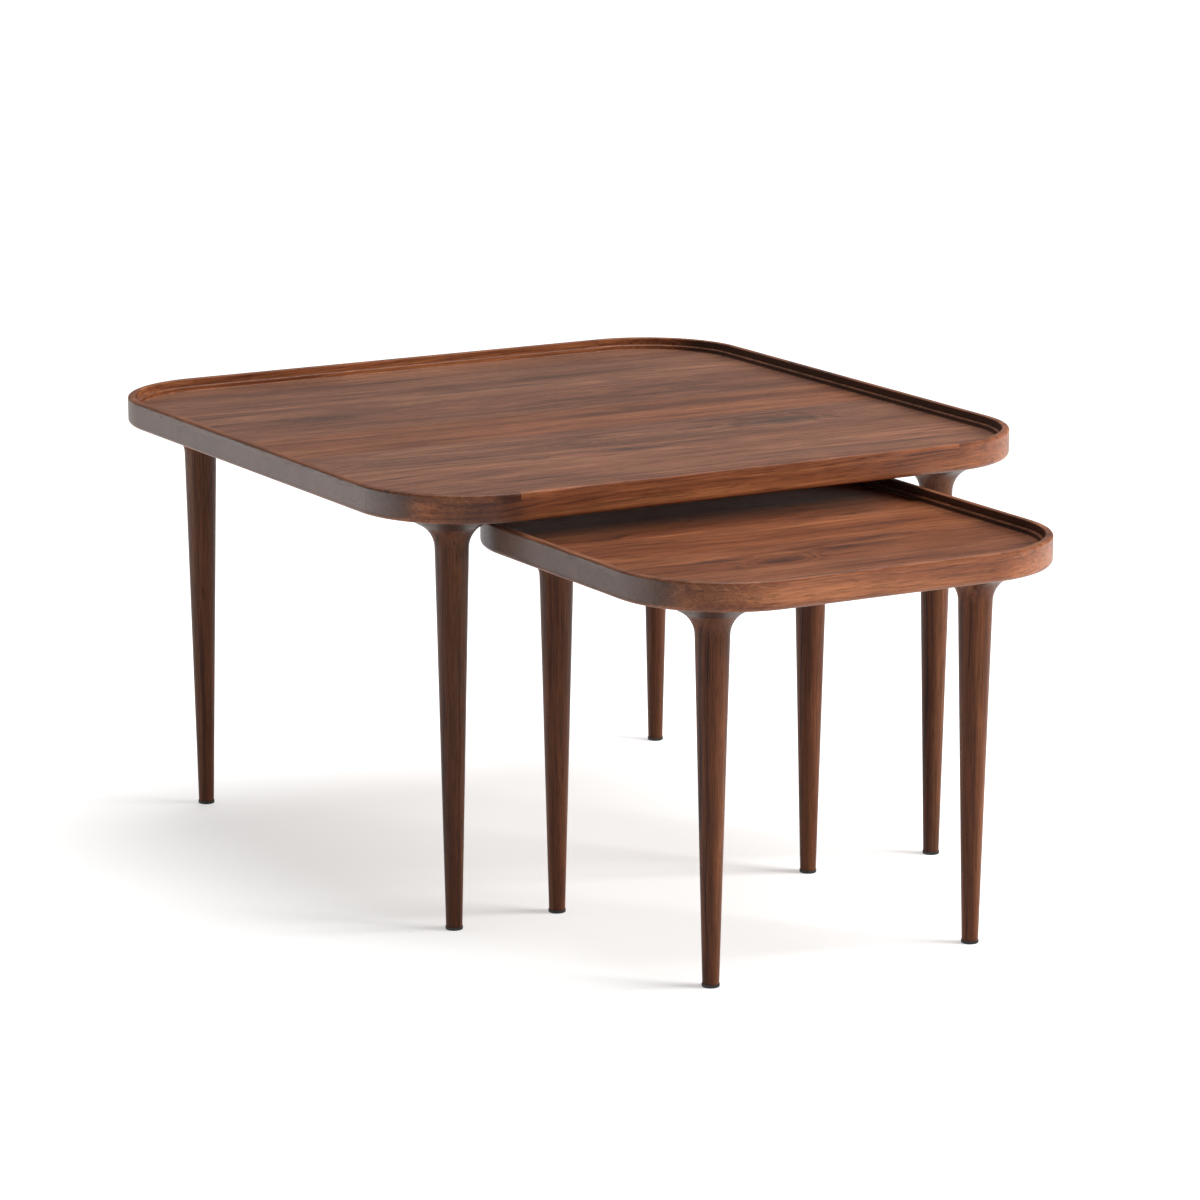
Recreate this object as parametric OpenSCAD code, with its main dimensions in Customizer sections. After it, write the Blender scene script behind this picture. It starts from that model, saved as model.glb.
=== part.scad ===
// A pair of nesting tables with tray tops: a large one, and a small one that slides under it.
// Millimetres. +X runs right along the front edge, +Y to the back and +Z up.
// The origin is on the floor, under the middle of the pair as it stands.

/* [Large table] */
// Side of the large square top
large_side = 700; // [680:5:760]
// Height from the floor to the top of the large rim
large_height = 429; // [427:1:460]
// Boards glued edge to edge in the large top
large_stave_count = 7; // [6:1:9]

/* [Small table] */
// Side of the small square top
small_side = 445; // [380:5:450]
// Height from the floor to the top of the small rim
small_height = 388.5; // [350:0.5:390]
// Boards glued edge to edge in the small top
small_stave_count = 5; // [4:1:6]

/* [Placing] */
// How far the small table stands forward of its nested place
pull_out = 407; // [200:1:600]
// How far the small table stands to the right of the middle
side_offset = -15; // [-20:1:20]

/* [Tops] */
// Thickness of the glued panel at its edge
panel_thickness = 20.5; // [19.5:0.5:22.5]
// Depth of the tray floor cut into the panel
tray_depth = 4.8; // [3.5:0.1:5.5]
// Radius of the top's corners
corner_radius = 110; // [60:2:120]
// Radius of the panel's lower outer edge
edge_round = 5; // [2:0.5:8]
// Width of the board along each outer edge of a top
outer_stave_width = 99; // [95:1:105]

/* [Rims] */
// Width of the rim that is glued round the panel's edge
rim_width = 7.5; // [6:0.5:12]
// Height of that rim
rim_height = 7; // [5:0.5:9]
// Radius of the rim's upper outer edge
rim_ease = 2.5; // [1:0.25:3.5]
// Radius of the rim's upper inner edge
rim_inner_ease = 1.2; // [0.5:0.1:2]
// Width of the panel's ledge inside the rim
ledge_width = 3.5; // [2.5:0.5:6]
// Radius of the ledge's edge
ledge_round = 1.6; // [0.5:0.1:2]
// Radius of the cove at the foot of the ledge
cove_radius = 1.2; // [0.5:0.1:1.4]

/* [Legs] */
// Distance from a leg's centre line to the outer edges of the top
leg_inset = 81.5; // [76:0.5:88]
// Diameter of a leg just below its flared head
leg_upper_diameter = 32; // [28:0.5:36]
// Diameter of a leg at its foot
leg_foot_diameter = 15.5; // [14:0.5:20]
// Radius of the curve that starts the flared head
flare_radius = 26; // [20:1:28]
// Angle at which that curve ends, from upright
flare_angle = 60; // [45:1:64]
// Diameter of the head where it meets the top
head_diameter = 104; // [90:1:108]

/* [Fittings] */
// Diameter of a hanger bolt, and of the bores that hold it
bolt_diameter = 8; // [6:1:10]
// Length of a hanger bolt in the leg
bolt_in_leg = 46; // [30:1:60]
// Outer diameter of a threaded insert
insert_diameter = 12; // [11:0.5:14]
// Length of a threaded insert
insert_length = 13; // [10:0.5:13.5]
// Diameter of a foot glide
glide_diameter = 16.5; // [15:0.5:22]
// Thickness of a foot glide
glide_thickness = 3; // [2.8:0.2:5]
// Diameter of a glide's nail
nail_diameter = 2.4; // [2:0.2:3]
// Length of a glide's nail in the leg
nail_in_leg = 14; // [10:1:18]

/* [Hidden] */
FIT_GAP = 1;
NAIL_HEAD_DIAMETER = 7;
NAIL_HEAD_THICKNESS = 0.8;
NAIL_HEAD_LEVEL = 1.4;
GLIDE_ROUND = 0.8;
ARC_STEPS = 6;
FLARE_STEPS = 12;
OVERSHOOT = 1;
$fn = 96;

// Places of the two tables: the pair's own middle is at the origin
large_y = (pull_out + (small_side - large_side) / 2) / 2;
small_y = large_y - pull_out;

// One row for each table: its name, side, height, number of boards and place
TABLES = [
    ["large", large_side, large_height, large_stave_count, [0, large_y, 0]],
    ["small", small_side, small_height, small_stave_count, [side_offset, small_y, 0]],
];
function name_of(table) = table[0];
function side_of(table) = table[1];
function underside_of(table) = table[2] - rim_height - panel_thickness;
function staves_of(table) = table[3];
function place_of(table) = table[4];

// The rim's sides and corners, in quarter turns from the first
SIDES = ["front", "right", "back", "left"];
CORNERS = ["back_right", "back_left", "front_left", "front_right"];
QUARTERS = [0:3];

// Points along an arc, from one angle to another
function arc(centre, radius, from, to, steps = ARC_STEPS) = [
    for (step = [0:steps])
        let (angle = from + (to - from) * step / steps)
        centre + radius * [cos(angle), sin(angle)]
];

// Half the straight length of a side, between its corner arcs
function straight(table) = side_of(table) / 2 - corner_radius;

// Distance from the middle of a top to a leg's centre line, along X and along Y
function leg_reach(table) = side_of(table) / 2 - leg_inset;

// Front edge of board number i, counted from the front, where i runs from 1
function stave_front(table, i) =
    let (half = side_of(table) / 2)
    let (inner_width = (side_of(table) - 2 * outer_stave_width) / (staves_of(table) - 2))
    i == 1 ? -half
    : i > staves_of(table) ? half
    : -half + outer_stave_width + (i - 2) * inner_width;

// Section of the panel from its middle to an edge at the given reach, with the tray floor cut in
function panel_section(reach) =
    let (wall = reach - rim_width - ledge_width)
    let (floor_level = panel_thickness - tray_depth)
    concat(
        [[0, 0]],
        arc([reach - edge_round, edge_round], edge_round, -90, 0),
        [[reach, panel_thickness]],
        arc([wall + ledge_round, panel_thickness - ledge_round], ledge_round, 90, 180),
        arc([wall - cove_radius, floor_level + cove_radius], cove_radius, 0, -90),
        [[0, floor_level]]
    );

// Section of the rim: x runs inward from the outer face and y up from the panel
function rim_section() = concat(
    [[0, 0]],
    arc([rim_ease, rim_height - rim_ease], rim_ease, 180, 90),
    arc([rim_width - rim_inner_ease, rim_height - rim_inner_ease], rim_inner_ease, 90, 0),
    [[rim_width, 0]]
);

// Half section of a leg, from the top of its glide to the underside of the top
function leg_section(length) =
    let (upper_radius = leg_upper_diameter / 2)
    let (head_radius = head_diameter / 2)
    let (curve_end = upper_radius + flare_radius * (1 - cos(flare_angle)))
    let (cone_height = (head_radius - curve_end) / tan(flare_angle))
    let (curve_start = length - cone_height - flare_radius * sin(flare_angle))
    concat(
        [[0, 0], [leg_foot_diameter / 2, 0]],
        arc([upper_radius + flare_radius, curve_start], flare_radius, 180, 180 - flare_angle, FLARE_STEPS),
        [[head_radius, length], [0, length]]
    );

// Puts its children at each of a table's four leg centre lines, or at one of them
module at_legs(table, quarters = QUARTERS) {
    for (quarter = quarters)
        rotate(quarter * 90)
            translate([leg_reach(table), leg_reach(table), 0])
                children();
}

// The whole glued panel, from its underside at z = 0
module panel_blank(table) {
    half = side_of(table) / 2;
    for (turn = [0, 90])
        rotate(turn)
            for (side = [0, 1])
                mirror([0, side, 0])
                    translate([-straight(table), 0, 0])
                        rotate([90, 0, 90])
                            linear_extrude(2 * straight(table))
                                polygon(panel_section(half));
    for (quarter = QUARTERS)
        rotate(quarter * 90)
            translate([straight(table), straight(table), 0])
                rotate_extrude(angle = 90)
                    polygon(panel_section(corner_radius));
}

// One board of a top, with the blind bores for any inserts that it holds
module stave(table, i) {
    front = stave_front(table, i);
    width = stave_front(table, i + 1) - front;
    color("#87583f")
        translate([0, 0, underside_of(table)])
            difference() {
                intersection() {
                    panel_blank(table);
                    translate([-side_of(table) / 2 - OVERSHOOT, front, -OVERSHOOT])
                        cube([side_of(table) + 2 * OVERSHOOT, width, panel_thickness + 2 * OVERSHOOT]);
                }
                if (i == 1 || i == staves_of(table))
                    at_legs(table)
                        translate([0, 0, -OVERSHOOT])
                            cylinder(d = insert_diameter, h = insert_length + OVERSHOOT);
            }
}

// A straight length of rim along one side
module rim_strip(table, quarter) {
    color("#8d5f47")
        rotate(quarter * 90)
            translate([-straight(table), -side_of(table) / 2, underside_of(table) + panel_thickness])
                rotate([90, 0, 90])
                    linear_extrude(2 * straight(table))
                        polygon(rim_section());
}

// A curved block of rim round one corner
module rim_corner(table, quarter) {
    color("#7f523c")
        rotate(quarter * 90)
            translate([straight(table), straight(table), underside_of(table) + panel_thickness])
                rotate_extrude(angle = 90)
                    polygon([for (point = rim_section()) [corner_radius - point.x, point.y]]);
}

// A turned leg with a flared head, bored for its hanger bolt and its glide's nail
module leg(table, quarter) {
    length = underside_of(table) - glide_thickness;
    bolt_bore = bolt_in_leg + FIT_GAP;
    nail_bore = nail_in_leg + FIT_GAP;
    color("#4e3128")
        at_legs(table, [quarter])
            translate([0, 0, glide_thickness])
                difference() {
                    rotate_extrude()
                        polygon(leg_section(length));
                    translate([0, 0, length - bolt_bore])
                        cylinder(d = bolt_diameter, h = bolt_bore + OVERSHOOT);
                    translate([0, 0, -OVERSHOOT])
                        cylinder(d = nail_diameter, h = nail_bore + OVERSHOOT);
                }
}

// A round foot glide, hollow where its nail's head is moulded in
module glide(table, quarter) {
    radius = glide_diameter / 2;
    color("#1b1a1a")
        at_legs(table, [quarter])
            difference() {
                rotate_extrude()
                    polygon(concat(
                        [[0, 0]],
                        arc([radius - GLIDE_ROUND, GLIDE_ROUND], GLIDE_ROUND, -90, 0),
                        [[radius, glide_thickness], [0, glide_thickness]]
                    ));
                nail_solid(glide_thickness + OVERSHOOT);
            }
}

// A glide's nail, from the underside of its head up to the given level
module nail_solid(top) {
    translate([0, 0, NAIL_HEAD_LEVEL])
        cylinder(d = NAIL_HEAD_DIAMETER, h = NAIL_HEAD_THICKNESS);
    translate([0, 0, NAIL_HEAD_LEVEL])
        cylinder(d = nail_diameter, h = top - NAIL_HEAD_LEVEL);
}

// The four nails that hold a table's glides
module glide_nails(table) {
    color("#8f9194")
        at_legs(table)
            nail_solid(glide_thickness + nail_in_leg);
}

// The four threaded inserts in the underside of a top
module inserts(table) {
    color("#b08d4a")
        at_legs(table)
            translate([0, 0, underside_of(table)])
                difference() {
                    cylinder(d = insert_diameter, h = insert_length);
                    translate([0, 0, -OVERSHOOT])
                        cylinder(d = bolt_diameter, h = insert_length + 2 * OVERSHOOT);
                }
}

// The four hanger bolts that join a table's legs to its inserts
module hanger_bolts(table) {
    color("#8f9194")
        at_legs(table)
            translate([0, 0, underside_of(table) - bolt_in_leg])
                cylinder(d = bolt_diameter, h = bolt_in_leg + insert_length - FIT_GAP);
}

for (table = TABLES)
    translate(place_of(table)) {
        for (i = [1:staves_of(table)])
            stave(table, i);
        for (quarter = QUARTERS) {
            rim_strip(table, quarter);
            rim_corner(table, quarter);
            leg(table, quarter);
            glide(table, quarter);
        }
        inserts(table);
        hanger_bolts(table);
        glide_nails(table);
    }
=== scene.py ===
"""Looks for a pair of walnut nesting tables: procedural timber on every board, leg and rim."""

import math

import bpy
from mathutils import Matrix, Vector


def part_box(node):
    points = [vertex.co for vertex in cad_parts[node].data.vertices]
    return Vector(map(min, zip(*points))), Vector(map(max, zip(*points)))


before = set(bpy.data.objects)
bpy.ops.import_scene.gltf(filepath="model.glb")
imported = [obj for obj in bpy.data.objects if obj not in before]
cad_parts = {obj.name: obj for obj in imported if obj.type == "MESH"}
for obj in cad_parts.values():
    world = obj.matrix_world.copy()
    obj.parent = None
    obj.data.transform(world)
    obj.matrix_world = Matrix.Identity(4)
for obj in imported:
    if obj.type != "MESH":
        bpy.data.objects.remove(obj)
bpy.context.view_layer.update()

# ---------------------------------------------------------------- colours, linear
FLOOR_PALE = (0.62, 0.62, 0.62)
WOOD_DARK = (0.022, 0.0085, 0.0065)
WOOD_DEEP = (0.076, 0.0230, 0.0110)
WOOD_MID = (0.142, 0.0440, 0.0180)
WOOD_LIGHT = (0.216, 0.0770, 0.0310)
# Grey laid over the wood: a painted sheen on the faces that look up and on the left and right rims' side
# faces, and on end grain partly its own colour and partly a painted sheen
SHEEN_AND_END_GREY = (0.128, 0.0860, 0.0680)
BRASS = (0.62, 0.42, 0.17)
BRASS_STAIN = (0.36, 0.22, 0.09)
ZINC = (0.50, 0.51, 0.52)
ZINC_STAIN = (0.33, 0.33, 0.32)
GRAIN_X, GRAIN_Y, GRAIN_Z = 0, 1, 2


# ---------------------------------------------------------------- node helpers
class Graph:
    """A small wrapper that makes and links the nodes of one material."""

    def __init__(self, name):
        self.material = bpy.data.materials.new(name)
        self.material.use_nodes = True
        self.tree = self.material.node_tree
        self.tree.nodes.clear()

    def node(self, kind, **settings):
        made = self.tree.nodes.new(kind)
        for key, value in settings.items():
            setattr(made, key, value)
        return made

    def feed(self, socket, value):
        if isinstance(value, bpy.types.NodeSocket):
            self.tree.links.new(value, socket)
        else:
            socket.default_value = value

    def math(self, operation, a, b=0.0, clamp=False):
        made = self.node("ShaderNodeMath", operation=operation, use_clamp=clamp)
        self.feed(made.inputs[0], a)
        self.feed(made.inputs[1], b)
        return made.outputs[0]

    def vector(self, operation, a, b=(0.0, 0.0, 0.0)):
        made = self.node("ShaderNodeVectorMath", operation=operation)
        self.feed(made.inputs[0], a)
        self.feed(made.inputs[1], b)
        return made.outputs[0]

    def length(self, vector):
        made = self.node("ShaderNodeVectorMath", operation="LENGTH")
        self.feed(made.inputs[0], vector)
        return made.outputs["Value"]

    def scaled(self, vector, factors):
        return self.vector("MULTIPLY", vector, factors)

    def mapped(self, vector, place, turn):
        made = self.node("ShaderNodeMapping", vector_type="POINT")
        self.feed(made.inputs["Vector"], vector)
        self.feed(made.inputs["Location"], place)
        self.feed(made.inputs["Rotation"], turn)
        return made.outputs[0]

    def noise(self, vector, scale, detail=2.0, roughness=0.5, distortion=0.0, colour=False):
        made = self.node("ShaderNodeTexNoise")
        self.feed(made.inputs["Vector"], vector)
        self.feed(made.inputs["Scale"], scale)
        self.feed(made.inputs["Detail"], detail)
        self.feed(made.inputs["Roughness"], roughness)
        self.feed(made.inputs["Distortion"], distortion)
        return made.outputs["Color" if colour else "Fac"]

    def noise_line(self, value, scale, detail=3.0, roughness=0.6):
        made = self.node("ShaderNodeTexNoise", noise_dimensions="1D")
        self.feed(made.inputs["W"], value)
        self.feed(made.inputs["Scale"], scale)
        self.feed(made.inputs["Detail"], detail)
        self.feed(made.inputs["Roughness"], roughness)
        return made.outputs["Fac"]

    def ramp(self, value, low, high, to_low=0.0, to_high=1.0):
        made = self.node("ShaderNodeMapRange", interpolation_type="SMOOTHSTEP")
        self.feed(made.inputs["Value"], value)
        self.feed(made.inputs["From Min"], low)
        self.feed(made.inputs["From Max"], high)
        self.feed(made.inputs["To Min"], to_low)
        self.feed(made.inputs["To Max"], to_high)
        return made.outputs[0]

    def blend(self, factor, a, b, mode="MIX"):
        made = self.node("ShaderNodeMix", data_type="RGBA", blend_type=mode)
        self.feed(made.inputs[0], factor)
        self.feed(made.inputs[6], a if isinstance(a, bpy.types.NodeSocket) else (*a, 1.0))
        self.feed(made.inputs[7], b if isinstance(b, bpy.types.NodeSocket) else (*b, 1.0))
        return made.outputs[2]

    def bump(self, height, strength, distance):
        made = self.node("ShaderNodeBump")
        self.feed(made.inputs["Height"], height)
        self.feed(made.inputs["Strength"], strength)
        self.feed(made.inputs["Distance"], distance)
        return made.outputs["Normal"]

    def finish(self, **sockets):
        shader = self.node("ShaderNodeBsdfPrincipled")
        for name, value in sockets.items():
            self.feed(shader.inputs[name.replace("_", " ")], value)
        out = self.node("ShaderNodeOutputMaterial")
        self.tree.links.new(shader.outputs[0], out.inputs["Surface"])
        return self.material


# ---------------------------------------------------------------- timber
MIDDLE_GREY = (0.5, 0.5, 0.5)
TURN_ONTO_X = {
    GRAIN_X: (0.0, 0.0, 0.0),
    GRAIN_Y: (0.0, 0.0, -math.pi / 2),
    GRAIN_Z: (0.0, math.pi / 2, 0.0),
}
SEED_STEP = 3.7
LOG_TILT = (0.0, 0.016, 0.010)
SWAY = 0.046
SHAKE = 0.0030
# How much darker and greyer the faces coloured as end grain are. On end grain the darkening is the wood's
# own and the grey partly its own colour, partly a painted sheen; on the left and right rims' side faces the
# darkening is painted shade and the grey a painted sheen.
END_TONE_AND_SHADE = 0.50
END_GREY_AND_SHEEN = 0.42
END_IOR = 1.36


def swing(g, noise, reach):
    """Turns a noise colour into a push either way, up to half the given reach."""
    return g.scaled(g.vector("SUBTRACT", noise, MIDDLE_GREY), reach)


def tint(g, factor, colour=(1.0, 1.0, 1.0)):
    """A colour whose channels are all scaled by one factor."""
    made = g.node("ShaderNodeCombineColor")
    for channel in range(3):
        share = colour[channel]
        g.feed(made.inputs[channel], factor if share == 1.0 else g.math("MULTIPLY", factor, share))
    return made.outputs[0]


def log_space(g, point, grain, heart, seed):
    """Places in the log: the grain along X, the growth rings round X, and the log a little askew."""
    moved = g.vector("SUBTRACT", point, tuple(heart))
    along = g.mapped(moved, (0.0, 0.0, 0.0), TURN_ONTO_X[grain])
    return g.mapped(along, (seed * SEED_STEP, 0.0, 0.0), LOG_TILT)


def bend_round(g, point, ripple, radius, marks):
    """Bends the rings round each mark. Gives back the new radius, and how dark the marks are."""
    stain = None
    for centre, half_length, half_width, depth, push in marks:
        away = g.vector("SUBTRACT", point, centre)
        away = g.vector("ADD", away, swing(g, ripple, (0.05, 0.022, 0.0)))
        gap = g.length(g.scaled(away, (1.0 / half_length, 1.0 / half_width, 0.0)))
        near = g.ramp(gap, 1.8, 0.0)
        radius = g.math("ADD", radius, g.math("MULTIPLY", near, push))
        core = g.math("MULTIPLY", g.ramp(gap, 1.15, 0.1), depth)
        stain = core if stain is None else g.math("MAXIMUM", stain, core)
    return radius, stain


def growth_band(g, radius, bent):
    """Growth rings of uneven width, in broad colour bands with finer lines inside them, and long
    soft streaks of darker heartwood."""
    broad = g.noise_line(radius, 55.0, 2.0, 0.5)
    rings = g.noise_line(radius, 300.0, 3.0, 0.65)
    lines = g.noise_line(radius, 1150.0, 2.0, 0.6)
    band = g.math("ADD", g.math("MULTIPLY", broad, 0.46), g.math("MULTIPLY", rings, 0.38))
    band = g.math("ADD", band, g.math("MULTIPLY", lines, 0.16))
    streaks = g.noise(g.scaled(bent, (1.9, 42.0, 42.0)), 1.0, 4.0, 0.62)
    return g.math("ADD", g.math("MULTIPLY", band, 0.62), g.math("MULTIPLY", streaks, 0.38))


def heartwood(g, band, stain):
    """The wood's colour from dark to light along the growth band, with any marks laid over it."""
    low = g.blend(g.ramp(band, 0.38, 0.47), WOOD_DEEP, WOOD_MID)
    colour = g.blend(g.ramp(band, 0.47, 0.60), low, WOOD_LIGHT)
    colour = g.blend(g.ramp(band, 0.425, 0.355, 0.0, 0.80), colour, WOOD_DARK)
    if stain is not None:
        colour = g.blend(stain, colour, WOOD_DARK)
    return colour


def timber(name, grain, heart, seed, tone=1.0, top_sheen=0.0, figure=1.0, gloss=1.33, marks=()):
    """Walnut cut from a log. grain is the axis that the log ran along, and heart the point on
    that axis's line where the growth rings are centred. Each mark is a dark place that the grain
    bends round: its middle, half its length, half its width, how dark it is and how far it
    pushes. gloss is the index of refraction on all faces but those that look left or right
    (on the legs, those that look up or down)."""
    g = Graph(name)
    place = g.node("ShaderNodeTexCoord")
    point = place.outputs["Object"]
    tilted = log_space(g, point, grain, heart, seed)

    # The log's slow waviness, and finer wandering of the rings
    waves = g.noise(g.scaled(tilted, (2.6, 7.0, 7.0)), 1.0, 2.0, 0.45, colour=True)
    ripple = g.noise(g.scaled(tilted, (16.0, 46.0, 46.0)), 1.0, 2.0, 0.5, colour=True)
    sway = swing(g, waves, (0.0, SWAY * figure, SWAY * figure))
    shake = swing(g, ripple, (0.0, SHAKE, SHAKE))
    bent = g.vector("ADD", g.vector("ADD", tilted, sway), shake)
    radius = g.length(g.vector("MULTIPLY", bent, (0.0, 1.0, 1.0)))
    radius, stain = bend_round(g, point, ripple, radius, marks)
    band = growth_band(g, radius, bent)

    # Fibres, dark pencil lines and pores, all drawn out along the grain, and a slow shimmer
    fibres = g.noise(g.scaled(tilted, (18.0, 520.0, 520.0)), 1.0, 4.0, 0.68)
    pencil = g.ramp(g.noise(g.scaled(bent, (3.2, 210.0, 210.0)), 1.0, 2.0, 0.55), 0.56, 0.70)
    pores = g.noise(g.scaled(tilted, (60.0, 1500.0, 1500.0)), 1.0, 1.0, 0.5)
    pore_mask = g.ramp(pores, 0.58, 0.70)
    shimmer = g.noise(g.scaled(tilted, (7.0, 15.0, 15.0)), 1.0, 3.0, 0.55)

    # Faces that look left or right are coloured as end grain, and on the legs those that look
    # up or down. On the left and right rims, whose grain runs along Y, these faces are long grain:
    # there their darkening is painted shade and their grey a painted sheen.
    facing = g.node("ShaderNodeSeparateXYZ")
    g.feed(facing.inputs[0], place.outputs["Normal"])
    end_and_side_axis = GRAIN_Z if grain == GRAIN_Z else GRAIN_X
    end_and_side = g.ramp(g.math("ABSOLUTE", facing.outputs[end_and_side_axis]), 0.72, 0.93)
    kept = g.math("MULTIPLY", band, g.ramp(end_and_side, 0.0, 1.0, 1.0, 0.35))
    band = g.math("ADD", kept, g.math("MULTIPLY", end_and_side, 0.31))

    shade = g.ramp(fibres, 0.30, 0.70, 0.74, 1.26)
    shade = g.math("MULTIPLY", shade, g.ramp(shimmer, 0.3, 0.7, 0.86, 1.14))
    shade = g.math("MULTIPLY", shade, g.ramp(pore_mask, 0.0, 1.0, tone, tone * 0.62))
    shade = g.math("MULTIPLY", shade, g.ramp(pencil, 0.0, 1.0, 1.04, 0.72))
    shade = g.math("MULTIPLY", shade, g.ramp(end_and_side, 0.0, 1.0, 1.0, END_TONE_AND_SHADE))
    colour = g.blend(1.0, heartwood(g, band, stain), tint(g, shade), "MULTIPLY")

    # Grey laid over the wood, which keeps its figure and loses its warmth. On the faces that look up
    # it is a painted sheen, by each board's own amount; on end grain it is partly the wood's own colour
    # and partly a painted sheen.
    painted_top_sheen = g.ramp(facing.outputs[2], 0.7, 0.95, 0.0, top_sheen)
    end_grey_and_top_sheen = g.math("MAXIMUM", g.math("MULTIPLY", end_and_side, END_GREY_AND_SHEEN), painted_top_sheen)
    grey_by_figure = g.math("MULTIPLY", shade, g.ramp(band, 0.38, 0.58, 0.80, 1.20))
    colour = g.blend(end_grey_and_top_sheen, colour, tint(g, grey_by_figure, SHEEN_AND_END_GREY))

    rough_fibres = g.ramp(fibres, 0.3, 0.7, 0.32, 0.45)
    height = g.math("SUBTRACT", g.math("MULTIPLY", fibres, 0.35), pore_mask)
    return g.finish(
        Base_Color=colour,
        Roughness=g.math("ADD", rough_fibres, g.math("MULTIPLY", pore_mask, 0.18)),
        Normal=g.bump(height, 0.22, 0.00025),
        IOR=g.ramp(end_and_side, 0.0, 1.0, gloss, END_IOR),
    )


def rubber(name):
    g = Graph(name)
    point = g.node("ShaderNodeTexCoord").outputs["Object"]
    grit = g.noise(point, 900.0, 3.0, 0.6)
    dust = g.noise(point, 60.0, 2.0, 0.5)
    dusty = g.ramp(dust, 0.35, 0.75, 0.0, 0.5)
    return g.finish(
        Base_Color=g.blend(dusty, (0.012, 0.012, 0.012), (0.040, 0.038, 0.036)),
        Roughness=g.ramp(grit, 0.3, 0.7, 0.55, 0.8),
        Normal=g.bump(grit, 0.2, 0.0002),
    )


def metal(name, colour, stain):
    g = Graph(name)
    point = g.node("ShaderNodeTexCoord").outputs["Object"]
    lathe = g.noise(g.scaled(point, (60.0, 60.0, 2600.0)), 1.0, 2.0, 0.5)
    cloud = g.noise(point, 140.0, 3.0, 0.6)
    return g.finish(
        Base_Color=g.blend(g.ramp(cloud, 0.35, 0.75, 0.0, 0.7), colour, stain),
        Metallic=1.0,
        Roughness=g.ramp(lathe, 0.3, 0.7, 0.25, 0.45),
        Normal=g.bump(lathe, 0.15, 0.0001),
    )


# ---------------------------------------------------------------- assigning the materials
def dress(node, material):
    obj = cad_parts[node]
    obj.data.materials.clear()
    obj.data.materials.append(material)


def middle(node):
    low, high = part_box(node)
    return [(a + b) / 2 for a, b in zip(low, high)]


def heart_of(node, across, below):
    """The centre of the growth rings: beside the board's middle and below it."""
    x, y, z = middle(node)
    return (x, y + across, z - below)


# Board number: (heart to the side, heart below, tone, painted sheen on the faces that look up), counted
# from the front
BOARDS = {
    "large": {
        1: (-0.042, 0.030, 0.98, 0.34),
        2: (-0.030, 0.048, 1.12, 0.34),
        3: (0.014, 0.036, 0.97, 0.38),
        4: (-0.060, 0.060, 1.04, 0.18),
        5: (0.030, 0.085, 0.94, 0.34),
        6: (-0.045, 0.065, 0.98, 0.38),
        7: (0.045, 0.075, 0.97, 0.40),
    },
    "small": {
        1: (-0.040, 0.030, 1.00, 0.10),
        2: (-0.014, 0.034, 0.90, 0.04),
        3: (0.050, 0.075, 0.98, 0.00),
        4: (-0.040, 0.060, 0.98, 0.00),
        5: (0.030, 0.070, 0.90, 0.00),
    },
}
# Dark places in the figure: (right, back) of the table's middle, half length, half width,
# how dark, and how far the grain bends round it
MARKS = {
    "large": (
        (0.035, 0.198, 0.115, 0.008, 0.62, 0.002),
        (-0.185, 0.132, 0.095, 0.024, 0.42, 0.007),
        (-0.200, 0.128, 0.022, 0.007, 0.75, 0.010),
        (0.150, 0.024, 0.260, 0.017, 0.45, 0.002),
        (-0.230, 0.022, 0.150, 0.007, 0.35, 0.002),
        (-0.040, -0.108, 0.034, 0.013, 0.30, 0.024),
        (0.188, -0.103, 0.062, 0.021, 0.85, 0.018),
        (0.070, -0.118, 0.060, 0.007, 0.45, 0.006),
        (-0.240, -0.100, 0.060, 0.011, 0.45, 0.006),
        (-0.120, -0.165, 0.022, 0.010, 0.50, 0.012),
        (0.000, -0.164, 0.034, 0.011, 0.45, 0.014),
        (0.165, -0.258, 0.200, 0.011, 0.42, 0.001),
        (0.140, 0.268, 0.034, 0.014, 0.28, 0.003),
        (-0.270, -0.345, 0.070, 0.034, 0.62, 0.004),
    ),
    "small": (
        (-0.040, -0.103, 0.040, 0.014, 0.72, 0.030),
        (-0.105, -0.080, 0.050, 0.009, 0.74, 0.008),
        (0.030, -0.082, 0.062, 0.011, 0.74, 0.010),
        (0.090, -0.058, 0.056, 0.008, 0.60, 0.006),
        (0.128, 0.044, 0.030, 0.004, 0.70, 0.003),
        (0.067, 0.087, 0.018, 0.003, 0.50, 0.001),
        (-0.120, 0.020, 0.080, 0.005, 0.40, 0.002),
        (0.130, -0.010, 0.075, 0.006, 0.48, 0.004),
    ),
}
# A board carries the marks whose middles are within this many half widths of it
SPREAD = 1.9


def marks_on(table, node):
    """The table's marks that reach onto one board, placed in the frame."""
    x, y, z = middle(f"{table}_inserts")
    low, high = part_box(node)
    found = []
    for right, back, half_length, half_width, depth, push in MARKS[table]:
        if low[1] - SPREAD * half_width < y + back < high[1] + SPREAD * half_width:
            found.append(((x + right, y + back, 0.0), half_length, half_width, depth, push))
    return found


# Where each kind of piece starts counting its seeds. No two pieces share one
SMALL_BOARD_SEED = 20
RIM_SEED = 40
CORNER_SEED = 60
LEG_SEED = 80
TABLE_SEED_STEP = 5

for table, boards in BOARDS.items():
    for number, (across, below, tone, top_sheen) in boards.items():
        node = f"{table}_stave_{number}"
        seed = number + SMALL_BOARD_SEED * (table == "small")
        heart = heart_of(node, across, below)
        marks = marks_on(table, node)
        dress(node, timber(f"walnut_{node}", GRAIN_X, heart, seed, tone, top_sheen, marks=marks))

SIDE_GRAIN = {"front": GRAIN_X, "back": GRAIN_X, "left": GRAIN_Y, "right": GRAIN_Y}
CORNERS = ("back_right", "back_left", "front_left", "front_right")
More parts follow.
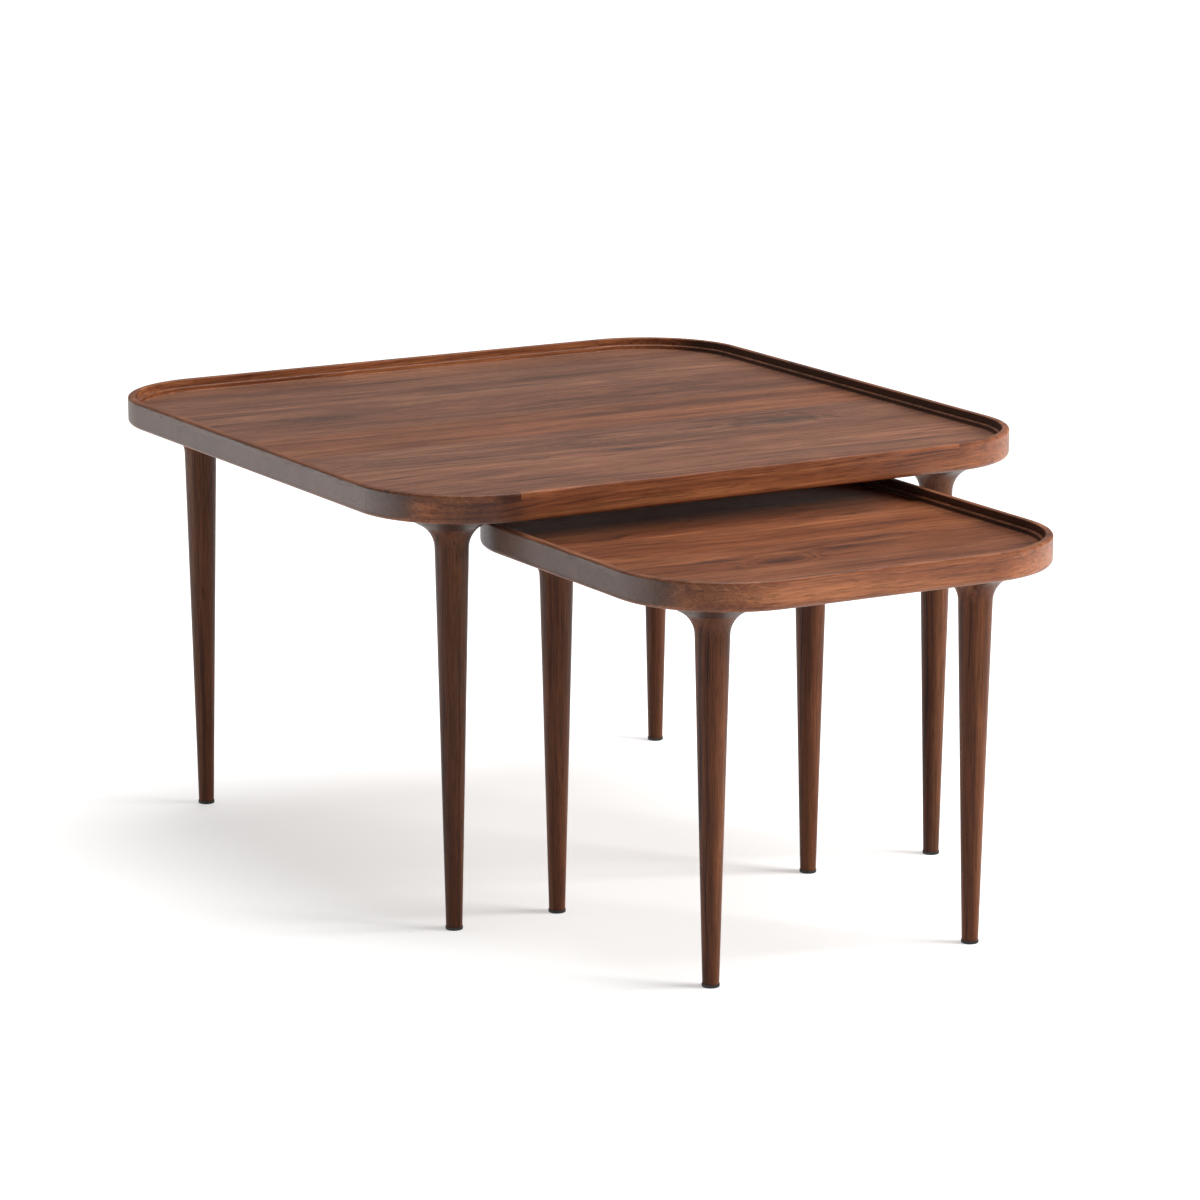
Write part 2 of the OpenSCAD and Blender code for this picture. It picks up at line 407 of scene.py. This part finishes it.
# The front left corner of each rim is cut from darker wood
CORNER_TONE = {"large": 0.74, "small": 0.90}
# How strongly the rims' and corners' faces that look up are greyed: a painted sheen
RIM_TOP_SHEEN = 0.20
RIM_FIGURE = 1.2
CORNER_FIGURE = 0.6
LEG_TONE = {"large": 0.42, "small": 0.52}
LEG_FIGURE = 0.5
LEG_GLOSS = 1.22
for t, table in enumerate(("large", "small")):
    step = TABLE_SEED_STEP * t
    for s, (side, grain) in enumerate(SIDE_GRAIN.items()):
        node = f"{table}_rim_{side}"
        heart = heart_of(node, 0.0, 0.06)
        dress(node, timber(f"walnut_{node}", grain, heart, RIM_SEED + step + s, 1.0, RIM_TOP_SHEEN, RIM_FIGURE))
    for c, corner in enumerate(CORNERS):
        node = f"{table}_corner_{corner}"
        heart = heart_of(node, 0.03, 0.05)
        seed = CORNER_SEED + step + c
        tone = CORNER_TONE[table] if corner == "front_left" else 1.0
        dress(node, timber(f"walnut_{node}", GRAIN_X, heart, seed, tone, RIM_TOP_SHEEN, CORNER_FIGURE))
        node = f"{table}_leg_{corner}"
        x, y, z = middle(node)
        heart = (x + 0.030, y - 0.020, z)
        seed = LEG_SEED + step + c
        walnut = timber(f"walnut_{node}", GRAIN_Z, heart, seed, LEG_TONE[table], 0.0, LEG_FIGURE, LEG_GLOSS)
        dress(node, walnut)
        dress(f"{table}_glide_{corner}", rubber(f"rubber_{table}_{corner}"))
    dress(f"{table}_inserts", metal(f"brass_{table}", BRASS, BRASS_STAIN))
    dress(f"{table}_hanger_bolts", metal(f"zinc_bolts_{table}", ZINC, ZINC_STAIN))
    dress(f"{table}_glide_nails", metal(f"zinc_nails_{table}", ZINC, ZINC_STAIN))

# ---------------------------------------------------------------- floor
FLOOR_HALF = 14.0
# The floor glows a little, so that the tables' shadow on it stays faint
FLOOR_GLOW = 0.46


def pale_floor():
    g = Graph("pale_floor")
    point = g.node("ShaderNodeTexCoord").outputs["Object"]
    speck = g.noise(point, 3.0, 2.0, 0.5)
    return g.finish(
        Base_Color=g.blend(speck, FLOOR_PALE, tuple(c * 0.985 for c in FLOOR_PALE)),
        Roughness=0.75,
        Emission_Color=(1.0, 1.0, 0.99, 1.0),
        Emission_Strength=FLOOR_GLOW,
    )


mesh = bpy.data.meshes.new("floor")
mesh.from_pydata(
    [(-FLOOR_HALF, -FLOOR_HALF, 0.0), (FLOOR_HALF, -FLOOR_HALF, 0.0),
     (FLOOR_HALF, FLOOR_HALF, 0.0), (-FLOOR_HALF, FLOOR_HALF, 0.0)],
    [], [(0, 1, 2, 3)])
floor = bpy.data.objects.new("floor", mesh)
mesh.materials.append(pale_floor())
bpy.context.scene.collection.objects.link(floor)

# ---------------------------------------------------------------- light
world = bpy.data.worlds.new("studio")
world.use_nodes = True
background = world.node_tree.nodes["Background"]
background.inputs["Color"].default_value = (0.96, 0.98, 1.0, 1.0)
background.inputs["Strength"].default_value = 0.20
bpy.context.scene.world = world


def soft_light(name, side, back, up, strength, spread, colour):
    """A broad, distant light that shines from the given direction. spread is in degrees."""
    data = bpy.data.lights.new(name, "SUN")
    data.energy = strength
    data.angle = math.radians(spread)
    data.color = colour
    light = bpy.data.objects.new(name, data)
    light.rotation_euler = Vector((side, back, up)).to_track_quat("Z", "Y").to_euler()
    bpy.context.scene.collection.objects.link(light)


# The point that the lit panels face
LIT_POINT = Vector((0.0, 0.0, 0.3))


def softbox(name, place, width, height, power, colour, mirrored=True):
    """A lit panel that faces the tables. Where it isn't mirrored, it lights without glare."""
    data = bpy.data.lights.new(name, "AREA")
    data.shape = "RECTANGLE"
    data.size = width
    data.size_y = height
    data.energy = power
    data.color = colour
    light = bpy.data.objects.new(name, data)
    light.location = place
    light.rotation_euler = (Vector(place) - LIT_POINT).to_track_quat("Z", "Y").to_euler()
    light.visible_glossy = mirrored
    bpy.context.scene.collection.objects.link(light)


softbox("key", (2.45, -2.00, 1.80), 1.8, 1.4, 196.0, (1.0, 0.985, 0.96), mirrored=False)
softbox("low_fill", (-2.10, 1.10, 0.20), 2.6, 0.34, 17.0, (0.95, 0.97, 1.0))
soft_light("overhead", 0.22, 0.00, 1.0, 3.0, 45.0, (1.0, 1.0, 1.0))

# ---------------------------------------------------------------- camera
# The camera looks at a point set from the middle of the large table. Angles are in radians
LARGE_MIDDLE = middle("large_inserts")
YAW = -0.52317
PITCH = 0.21761
DISTANCE = 5.2114
AIM = (LARGE_MIDDLE[0] + 0.1133, LARGE_MIDDLE[1] + 0.1192, 0.200)
LENS_TO_WIDTH = 4.2022
SENSOR_WIDTH = 36.0

forward = Vector((
    math.sin(-YAW) * math.cos(PITCH),
    math.cos(YAW) * math.cos(PITCH),
    -math.sin(PITCH),
))
camera_data = bpy.data.cameras.new("camera")
camera_data.sensor_width = SENSOR_WIDTH
camera_data.lens = SENSOR_WIDTH * LENS_TO_WIDTH
camera_data.clip_end = 100.0
camera = bpy.data.objects.new("camera", camera_data)
camera.location = Vector(AIM) - forward * DISTANCE
camera.rotation_euler = forward.to_track_quat("-Z", "Y").to_euler()
bpy.context.scene.collection.objects.link(camera)
bpy.context.scene.camera = camera

bpy.context.scene.view_settings.view_transform = "Standard"
